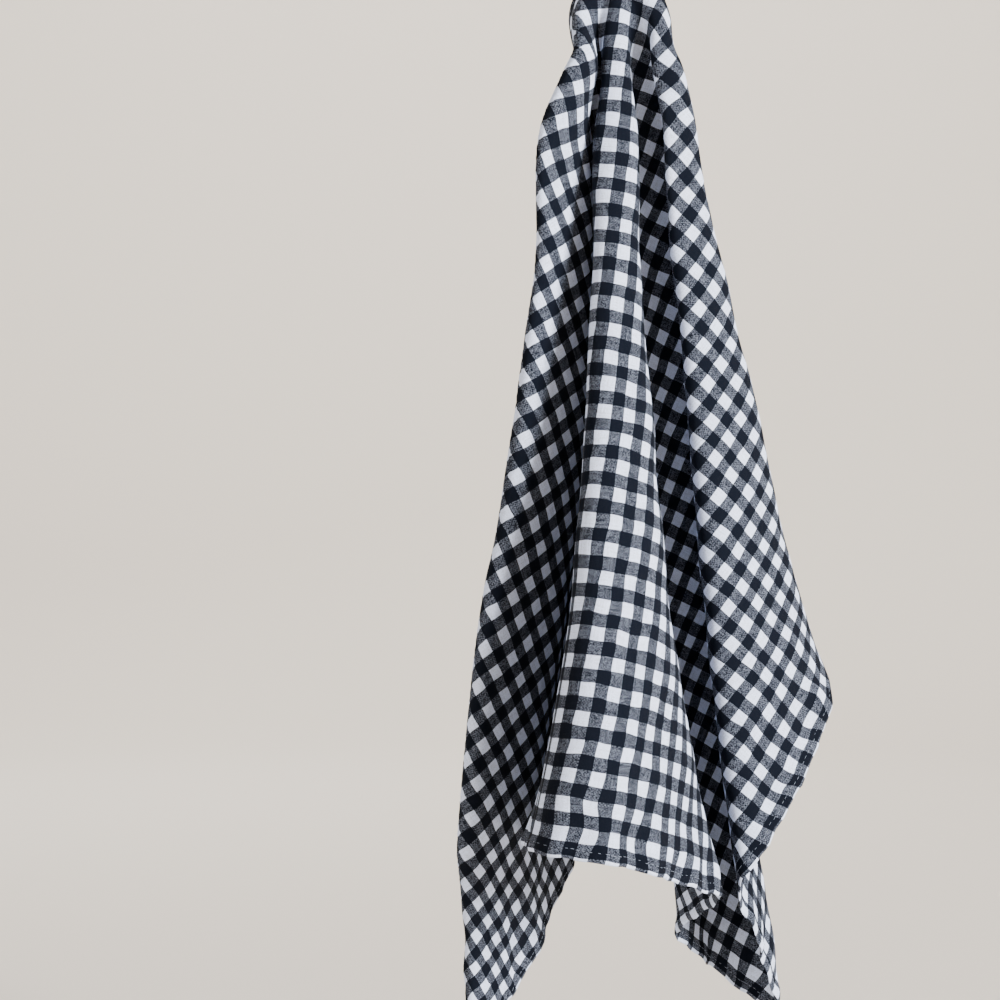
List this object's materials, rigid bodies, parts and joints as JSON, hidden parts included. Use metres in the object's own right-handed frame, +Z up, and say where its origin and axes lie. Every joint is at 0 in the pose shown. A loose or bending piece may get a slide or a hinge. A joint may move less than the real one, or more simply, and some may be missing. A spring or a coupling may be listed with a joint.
{
  "type": "tea towel",
  "caption": "Check-patterned cotton tea towel hanging by the middle of its long top edge, in deep cone-shaped folds with two trailing corners.",
  "frame": {"origin": "the hang point, in the middle of the towel's long top edge, where it is held", "axes": "+X to the right as seen from the front, +Y away from the viewer, +Z up; the towel hangs down along -Z"},
  "size_m": [0.2039, 0.2469, 0.5724],
  "materials": {
    "cotton": "matte plain-woven check"
  },
  "bodies": {
    "root": {"towel": "cotton"}
  },
  "joints": []
}
